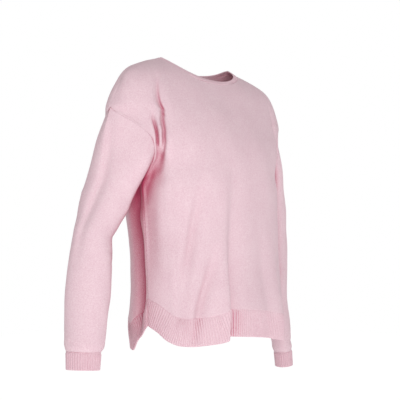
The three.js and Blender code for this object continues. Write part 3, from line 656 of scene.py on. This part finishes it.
def cloth_wall(name, outer, wall, uv, ring, inner=None):
    """A mesh object from a grid of outer places in mm. uv has one more column where ring is set."""
    rows, cols = outer.shape[:2]
    inner = outer - facing(outer, ring) * wall if inner is None else inner
    count = rows * cols
    ids = np.arange(count).reshape(rows, cols)
    uv_ids = np.arange(rows * uv.shape[1]).reshape(rows, -1)
    nxt = np.concatenate([ids, ids[:, :1]], axis=1) if ring else ids
    corner = lambda a: np.stack([a[:-1, :-1], a[1:, :-1], a[1:, 1:], a[:-1, 1:]], -1).reshape(-1, 4)
    faces = [corner(nxt), corner(nxt)[:, ::-1] + count]
    face_uv = [corner(uv_ids), corner(uv_ids)[:, ::-1]]
    if ring:
        borders = [(nxt[-1], uv_ids[-1]), (nxt[0, ::-1], uv_ids[0, ::-1])]
    else:
        walk = lambda a: np.concatenate([a[-1, :-1], a[:0:-1, -1], a[0, :0:-1], a[:, 0]])
        borders = [(walk(ids), walk(uv_ids))]
    places, mids = [outer.reshape(-1, 3), inner.reshape(-1, 3)], 2 * count
    inward = np.zeros_like(outer)
    inward[-1] += unit(outer[-2] - outer[-1])
    inward[0] += unit(outer[1] - outer[0])
    if not ring:
        inward[:, 0] += unit(outer[:, 1] - outer[:, 0])
        inward[:, -1] += unit(outer[:, -2] - outer[:, -1])
    inward = unit(inward).reshape(-1, 3)
    for edge, edge_uv in borders:
        ends = edge[:-1]
        middle = (places[0][ends] + places[1][ends]) / 2 - inward[ends] * wall * RIM_BULGE
        rim = mids + np.append(np.arange(len(ends)), 0)
        places.append(middle)
        mids += len(ends)
        for first, second in ((edge, rim), (rim, edge + count)):
            faces.append(np.stack([first[1:], first[:-1], second[:-1], second[1:]], -1))
            face_uv.append(np.stack([edge_uv[1:], edge_uv[:-1], edge_uv[:-1], edge_uv[1:]], -1))
    vertices = np.concatenate(places) * MM
    faces, face_uv = np.concatenate(faces), np.concatenate(face_uv)
    mesh = bpy.data.meshes.new(name)
    mesh.from_pydata(vertices.tolist(), [], faces.tolist())
    layer = mesh.uv_layers.new(name="stitches")
    layer.data.foreach_set("uv", uv.reshape(-1, 2)[face_uv.ravel()].astype(np.float32).ravel())
    smooth_shaded = np.arange(len(faces)) < 2 * len(corner(nxt))  # the cut edges stay crisp
    mesh.polygons.foreach_set("use_smooth", smooth_shaded)
    made = bpy.data.objects.new(name, mesh)
    bpy.context.scene.collection.objects.link(made)
    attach(made, "root")
    print(f"{name}: {2 * len(faces):,} triangles")
    return made


# %% [markdown]
# ## Front and back
# Both panels are stocking stitch, fully fashioned: the wales keep upright beside the neck and
# spread evenly below the armholes.


# %% Make a panel
PANEL_COLUMNS = 221
PANEL_ROWS = 204
FLAT_HALF = 305  # half a panel's flat width
LEVEL_COURSE = 150  # drop at which the courses run level
SEAM_CLEAR = 6.5  # folds fade out over this much at a panel's side edges
PANEL_EASE = 60  # passes that blend a panel's rows


def panel_cloth(panel, drop, share, passes=0):
    """Places on a panel or rib, with its folds."""
    plain, girth = plain_cloth(panel, drop, share)
    middle = (1 - smooth((np.abs(share) - 0.84) / 0.16))[..., None]  # seams keep their own line
    plain = plain + (eased(plain, passes) - plain) * middle
    out, sideways = fold_shift(BODY_FOLDS[panel], drop, share * girth)
    seamward = smooth((1 - np.abs(share)) * girth / SEAM_CLEAR)
    out, sideways = out * seamward, sideways * seamward
    out += uneven(drop, share * girth, UNEVEN_SEED[panel]) * seamward
    face = facing(plain, False)
    across = unit(np.gradient(plain, axis=1))
    across = across * np.sign(across[..., :1] + 1e-9)
    return plain + face * out[..., None] + across * sideways[..., None]


def closer_columns(count):
    """Columns from -1 to 1 that stand closer at the pleats and, a little, at the long flute."""
    fine = np.linspace(-1, 1, 2001)
    pleats = 2 * np.exp(-(((np.abs(fine) - 0.72) / 0.2) ** 2))
    density = 1 + pleats + 0.6 * np.exp(-(((fine + 0.24) / 0.08) ** 2))
    placed = np.concatenate([[0], np.cumsum((density[1:] + density[:-1]) / 2)])
    return np.interp(np.linspace(0, placed[-1], count), placed, fine)


def make_panel(name, panel):
    # The front's columns run from the wearer's right to left, the back's the other way, so that
    # both face outwards.
    columns = closer_columns(PANEL_COLUMNS) * (1 if panel == "front" else -1)
    levels = np.linspace(0, 1, PANEL_ROWS) ** 1.2  # closer at the top
    drop, share = panel_grid(panel, columns, levels)
    outer = panel_cloth(panel, drop, share, PANEL_EASE)
    left, right = distance_in(outer, 1), distance_in(outer, 1, True)
    top = distance_in(outer, 0)
    face = facing(outer, False)
    outer = outer + face * seam_swell(np.minimum(np.minimum(left, right), top))[..., None]
    wale = np.broadcast_to(columns * FLAT_HALF, drop.shape)
    level = np.argmin(np.abs(drop - LEVEL_COURSE), axis=0)
    course = top - np.take_along_axis(top, level[None], axis=0)
    uv = np.stack([wale, -course], -1) * MM
    return cloth_wall(name, outer, WALL, uv, False)


front = make_panel("front_stocking_stitch", "front")
back = make_panel("back_stocking_stitch", "back")

# %% [markdown]
# ## Hem ribs
# The hem is 1 x 1 rib, knitted on with the panel. Real ribs stand square to the edge, so where
# the hem curves up to the side vents the ribs lean with it. The relief is modelled, because it
# shows along the hem's outline.

# %% Make a hem rib
RIB_PITCH = 5.2  # mm from rib to rib; real ones are about 4, drawn coarser so that they show
RIB_RELIEF = 1.5  # mm from valley to top
RIB_INNER_RELIEF = 0.4
RIB_TUCK = 0.4  # how deep the rib's first rows lie under the panel's edge
RIB_COLUMNS = 901
RIB_ROWS = 24


def rib_profile(phase):
    """0 in the valley, 1 on the round top of a rib."""
    return np.abs(np.sin(math.pi * phase)) ** 0.8


def rib_faces(mean, ring, ribs, start, tuck, roll=0):
    """A rib's outer and inner face: full relief where start is 1, tucked in where it is 0."""
    face = facing(mean, ring)
    rise = (ribs - 0.6) * RIB_RELIEF * (0.2 + 0.8 * start) - tuck * (1 - start) + roll
    return mean + face * rise[..., None], mean - face * (RIB_WALL - RIB_INNER_RELIEF * ribs)[..., None]


def square_to_hem(panel, drop, across):
    """Length along the hem of the rib that passes through each place."""
    share = np.linspace(-1, 1, 801)
    edge_drop = hem_drop(panel, share)
    edge_across = share * lengths(panel, edge_drop)[:, -1]
    slope = np.gradient(edge_drop, edge_across)
    kernel = np.ones(61) / 61
    slope = np.convolve(np.pad(slope, 30, mode="edge"), kernel, "valid") * 0.85
    length = np.concatenate([[0], np.cumsum(np.hypot(np.diff(edge_drop), np.diff(edge_across)))])
    foot = across
    for _ in range(12):
        high = np.interp(foot, edge_across, edge_drop) - drop
        foot = 0.5 * foot + 0.5 * (across - high * np.interp(foot, edge_across, slope))
    return np.interp(foot, edge_across, length) + foot - np.clip(foot, edge_across[0], edge_across[-1])


def make_hem_rib(name, panel):
    columns = np.linspace(-1, 1, RIB_COLUMNS) * (1 if panel == "front" else -1)
    levels = np.linspace(-0.04, 1, RIB_ROWS)  # the first rows are tucked under the panel's edge
    drop, share = rib_grid(panel, columns, levels)
    mean = panel_cloth(panel, drop, share)
    _, girth = plain_cloth(panel, drop, share)
    foot = square_to_hem(panel, drop, share * girth)
    ribs = rib_profile(foot / RIB_PITCH)
    left, right = distance_in(mean, 1), distance_in(mean, 1, True)
    roll = seam_swell(np.minimum(left, right))
    start = smooth((distance_in(mean, 0) - 2) / 3)
    outer, inner = rib_faces(mean, False, ribs, start, RIB_TUCK, roll)
    uv = np.stack([foot, -distance_in(mean, 0)], -1) * MM
    return cloth_wall(name, outer, RIB_WALL, uv, False, inner)


front_rib = make_hem_rib("front_hem_rib", "front")
back_rib = make_hem_rib("back_hem_rib", "back")

# %% [markdown]
# ## Sleeves and cuffs
# A sleeve is one shaped panel closed to a tube along its underarm seam. It starts on the armhole
# seam, which lies well down the arm on a dropped shoulder, and blouses a little over its cuff.

# %% Make a sleeve
SLEEVE_COLUMNS = 132
SLEEVE_ROWS = 250
CUFF_COLUMNS = 312
CUFF_ROWS = 22
CUFF_PITCH = 5.4  # drawn coarser than real, like the hem's
CUFF_TUCK = 1.2
SLEEVE_ROUND = 0.29  # metres round the sleeve, for the stitch pattern
ARM_LENGTH = 350  # mm down the arm, for the stitch pattern
BLOUSE = 1.3  # the sleeve swells by this above the cuff, and sinks by CUFF_DRAW at it
CUFF_DRAW = 1.0


def mirrored(grid):
    """The left arm's grid flipped to the wearer's right, still facing outwards."""
    return grid[:, ::-1] * np.array([-1, 1, 1])


def make_sleeve(name, side):
    arm = ARM[side]
    end = CAP + (1 - CAP) * CUFF_START
    turn = np.linspace(2 * math.pi, 0, SLEEVE_COLUMNS + 1)[:-1]
    t = np.linspace(0, 1, SLEEVE_ROWS) ** 1.08 * end
    t, turn = np.meshgrid(t, turn, indexing="ij")
    plain = sleeve_cloth(arm, t, turn)
    degrees = np.degrees(turn)
    out, _ = fold_shift(SLEEVE_LONG[side], t, degrees, 360)
    cross_out, _ = fold_shift(SLEEVE_CROSS[side], (degrees + 120) % 360 - 120, t)
    cross_high, _ = fold_shift(SLEEVE_CROSS[side], degrees, t)
    out = out + np.where(degrees > 180, cross_high, cross_out)
    along = distance_in(plain, 0)
    to_cuff = distance_in(plain, 0, True)
    out += uneven(along, 45 * np.sin(turn), UNEVEN_SEED[side], 0.8) * smooth(along / 30)
    blouse = BLOUSE * np.exp(-(((to_cuff - 12) / 9) ** 2))
    out += seam_swell(along) + blouse - CUFF_DRAW * np.exp(-((to_cuff / 5) ** 2))
    outer = plain + facing(plain, True) * out[..., None]
    uv = np.stack([np.linspace(0, SLEEVE_ROUND, SLEEVE_COLUMNS + 1) + 0 * along[:, :1],
                   np.concatenate([-along, -along[:, :1]], axis=1) * MM], -1)
    if side == "right":
        outer, uv = mirrored(outer), uv[:, ::-1]
    return cloth_wall(name, outer, WALL, uv, True)


def make_cuff(name, side):
    arm = ARM[side]
    turn = np.linspace(2 * math.pi, 0, CUFF_COLUMNS + 1)[:-1]
    t = np.linspace(CUFF_START - 0.004, 1, CUFF_ROWS)
    t, turn = np.meshgrid(t, turn, indexing="ij")
    mean, _ = arm_ring(arm, t, turn)
    loop = np.concatenate([mean[-1], mean[-1, :1]])
    around = np.concatenate([[0], np.cumsum(np.linalg.norm(np.diff(loop, axis=0), axis=1))])
    ribs_round = round(around[-1] / CUFF_PITCH)
    ribs = rib_profile(around[:-1] / around[-1] * ribs_round) + 0 * t
    start = smooth((distance_in(mean, 0) - 1) / 4)
    outer, inner = rib_faces(mean, True, ribs, start, CUFF_TUCK)
    down = np.concatenate([t, t[:, :1]], axis=1) * -ARM_LENGTH
    uv = np.stack([around + 0 * t[:, :1], down], -1) * MM
    if side == "right":
        outer, inner, uv = mirrored(outer), mirrored(inner), uv[:, ::-1]
    return cloth_wall(name, outer, RIB_WALL, uv, True, inner)


sleeves = {side: make_sleeve(f"sleeve_{side}_stocking_stitch", side) for side in ("right", "left")}
cuffs = {side: make_cuff(f"cuff_{side}_rib", side) for side in ("right", "left")}

# %% [markdown]
# ## Neckband
# A single narrow band of rib, linked round the neck opening. It leans in and stands up a little.

# %% Make the neckband
BAND = 11  # height
BAND_COLUMNS = 880
BAND_ROWS = 11
BAND_PITCH = 4.6
BAND_RELIEF = 1.1
BAND_INNER_RELIEF = 0.3
NECK_MIDDLE = -4  # depth of the point that the band leans towards
# How far the band leans in and stands up, by the turn round the neck from the front's centre.
BAND_LEAN = table("turn inward up", (0, 7.5, 8), (90, 10, 4), (180, 4, 10.2))
band_turn = np.linspace(0, 2 * math.pi, BAND_COLUMNS + 1)[:-1]
sine = np.sin(band_turn)
at_back = np.cos(band_turn) < 0
neck_share = np.arcsin(np.abs(sine)) / (math.pi / 2) * NECK_SHARE
edge = np.zeros((BAND_COLUMNS, 3))
for panel, here in (("front", ~at_back), ("back", at_back)):
    top_drop, top_x = column_top(panel, np.minimum(neck_share, NECK_SHARE - 1e-6))
    share = share_at_x(panel, top_drop, top_x)
    place, _ = plain_cloth(panel, top_drop, share * np.sign(sine + 1e-12))
    edge[here] = place[here]
fold_turn = np.degrees(np.where(band_turn <= math.pi, band_turn, 2 * math.pi - band_turn))
aim = unit(np.stack([0 * sine, 0 * sine + NECK_MIDDLE, edge[:, 2]], -1) - edge)
inward, up = read(BAND_LEAN, "inward", fold_turn), read(BAND_LEAN, "up", fold_turn)
slope = unit(np.stack([aim[:, 0] * inward, aim[:, 1] * inward, up], -1))
rise = np.linspace(BAND, 0, BAND_ROWS)[:, None, None]
band_mean = edge + slope * rise
loop = np.concatenate([edge, edge[:1]])
around = np.concatenate([[0], np.cumsum(np.linalg.norm(np.diff(loop, axis=0), axis=1))])
band_ribs = rib_profile(around[:-1] / around[-1] * round(around[-1] / BAND_PITCH)) + 0 * rise[..., 0]
band_face = facing(band_mean, True)
band_outer = band_mean + band_face * ((band_ribs - 0.6) * BAND_RELIEF)[..., None]
band_inner = band_mean - band_face * (RIB_WALL - BAND_INNER_RELIEF * band_ribs)[..., None]
band_uv = np.stack([around + 0 * rise[..., 0], rise[..., 0] + 0 * around], -1) * MM
neckband = cloth_wall("neckband_rib", band_outer, RIB_WALL, band_uv, True, band_inner)
print("neck opening, mm round:", round(float(around[-1])))

# %% [markdown]
# ## Cashmere
# Cashmere is goat hair: fine keratin fibres with an IOR near 1.55, spun soft and brushed up, so
# the surface is a short matt nap. There is no highlight, only a faint sheen where the nap is
# seen edge on, and light that goes into a fold is tinted again at each bounce; here that shade
# and deeper pink in the folds are painted into the colour as well. The yarn is dyed before
# spinning, from fibres of slightly different pinks, which gives a fine heathered mottle.

# %% Cashmere material
PALE_PINK = "#DAC2C8"
ROSE_PINK = "#CBA8B3"
# painted shade: the ribs' pinks are a little deeper than the panels', for the shade in their grooves
RIB_SHADED_PALE_PINK = "#D9BEC5"
RIB_SHADED_ROSE_PINK = "#CAA6B1"
CUFF_SHADED_PALE_PINK = "#D3B5BD"  # painted shade: the cuffs are darker and pinker than the hem rib, for the shade that falls on them
CUFF_SHADED_ROSE_PINK = "#C59EA9"
FOLD_SHADE_PINK = "#AC3358"  # painted shade and bounce tint: deep in folds and where cloth lies close, the colour turns towards this dark rose
FOLD_SHADE_REACH = 0.16  # m; how near other cloth must be for the painted fold shade
WALE = 3.6  # mm; real wales are about 2.2, drawn coarser so that they show
COURSE = 2.9  # mm; real courses are about 1.7


def cashmere(name, stitches, pale, rose):
    """Brushed cashmere knit in two shades, with painted shade deep in its folds. stitches is how deep the V
    stitches are pressed, in mm.
    """
    material = bpy.data.materials.new(name)
    material.use_nodes = True
    tree = material.node_tree
    shader = tree.nodes["Principled BSDF"]
    for socket, value in {
        "Roughness": 0.92, "IOR": 1.55, "Specular IOR Level": 0.25, "Sheen Weight": 0.25,
        "Sheen Roughness": 0.45, "Sheen Tint": linear("#FFE9EE"),
    }.items():
        shader.inputs[socket].default_value = value
    place = node(tree, "ShaderNodeTexCoord").outputs["Object"]
    mottle = node(tree, "ShaderNodeTexNoise", {"Scale": 420, "Detail": 3, "Roughness": 0.6}, Vector=place)
    clouds = node(tree, "ShaderNodeTexNoise", {"Scale": 26, "Detail": 2}, Vector=place)
    both = maths(tree, "MULTIPLY_ADD", clouds.outputs["Fac"], 0.16, mottle.outputs["Fac"])
    heather = node(tree, "ShaderNodeMapRange", {"From Min": 0.39, "From Max": 0.82}, Value=both)
    dyed = node(tree, "ShaderNodeMix", {"data_type": "RGBA"}, _0=heather.outputs["Result"],
                _6=linear(pale), _7=linear(rose))
    # painted shade: ambient occlusion mixes the dark rose into the colour deep in folds and where sleeve and
    # body lie close
    near = node(tree, "ShaderNodeAmbientOcclusion", {"samples": 8, "Distance": FOLD_SHADE_REACH})
    depth = node(tree, "ShaderNodeMapRange",
                 {"From Min": 0.85, "From Max": 0.35, "interpolation_type": "SMOOTHSTEP"},
                 Value=near.outputs["AO"])
    tinted = node(tree, "ShaderNodeMix", {"data_type": "RGBA"}, _0=depth.outputs["Result"],
                  _6=dyed.outputs[2], _7=linear(FOLD_SHADE_PINK))
    tree.links.new(tinted.outputs[2], shader.inputs["Base Color"])
    # The stitches: each wale is a column of V shapes, so a course's phase slopes from the middle.
    uv = node(tree, "ShaderNodeUVMap", {"uv_map": "stitches"})
    split = node(tree, "ShaderNodeSeparateXYZ", _0=uv.outputs["UV"])
    wale = maths(tree, "MULTIPLY", split.outputs["X"], 1000 / WALE)
    course = maths(tree, "MULTIPLY", split.outputs["Y"], 1000 / COURSE)
    side = maths(tree, "PINGPONG", wale, 0.5)
    strand = maths(tree, "PINGPONG", maths(tree, "MULTIPLY_ADD", side, 1.6, course), 0.5)
    knit = maths(tree, "MULTIPLY_ADD", maths(tree, "PINGPONG", side, 0.25), 2.0, strand)
    nap = node(tree, "ShaderNodeTexNoise", {"Scale": 900, "Detail": 2, "Roughness": 0.7}, Vector=place)
    pressed = node(tree, "ShaderNodeBump", {"Strength": 1.0, "Distance": stitches * MM}, Height=knit)
    napped = node(tree, "ShaderNodeBump", {"Strength": 0.5, "Distance": 0.5 * MM},
                  Height=nap.outputs["Fac"], Normal=pressed.outputs["Normal"])
    tree.links.new(napped.outputs["Normal"], shader.inputs["Normal"])
    return material


knit_cashmere = cashmere("brushed_cashmere_stocking_stitch", 0.35, PALE_PINK, ROSE_PINK)
rib_cashmere = cashmere("brushed_cashmere_rib", 0.3, RIB_SHADED_PALE_PINK, RIB_SHADED_ROSE_PINK)
cuff_cashmere_painted_shade = cashmere("brushed_cashmere_cuff_rib_painted_shade", 0.3, CUFF_SHADED_PALE_PINK, CUFF_SHADED_ROSE_PINK)

# %% [markdown]
# ## Which solid each piece stands for, and how each was cut
# The flat sizes are the knitted panels' widths and lengths before linking.

PIECES = [
    # piece, solid, slot, material, flat width and length, flat area in square metres, hangs from
    (front, "front", "cashmere_knit", knit_cashmere, (0.62, 0.60), 0.282, ["back"]),
    (back, "back", "cashmere_knit", knit_cashmere, (0.62, 0.62), 0.295, ["front"]),
    (sleeves["right"], "sleeve_right", "cashmere_knit", knit_cashmere, (0.42, 0.56), 0.126,
     ["front", "back"]),
    (sleeves["left"], "sleeve_left", "cashmere_knit", knit_cashmere, (0.42, 0.59), 0.133,
     ["front", "back"]),
    (front_rib, "hem_rib_front", "cashmere_rib", rib_cashmere, (0.60, 0.058), 0.0299, ["front"]),
    (back_rib, "hem_rib_back", "cashmere_rib", rib_cashmere, (0.62, 0.058), 0.0333, ["back"]),
    (cuffs["right"], "cuff_right", "cashmere_rib", cuff_cashmere_painted_shade, (0.19, 0.036), 0.0063, ["sleeve_right"]),
    (cuffs["left"], "cuff_left", "cashmere_rib", cuff_cashmere_painted_shade, (0.19, 0.037), 0.0064, ["sleeve_left"]),
    (neckband, "neckband", "cashmere_rib", rib_cashmere, (0.56, 0.011), 0.0061, ["front", "back"]),
]
for piece, solid, slot, material, flat, area, holders in PIECES:
    piece.data.materials.append(material)
    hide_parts(solid)
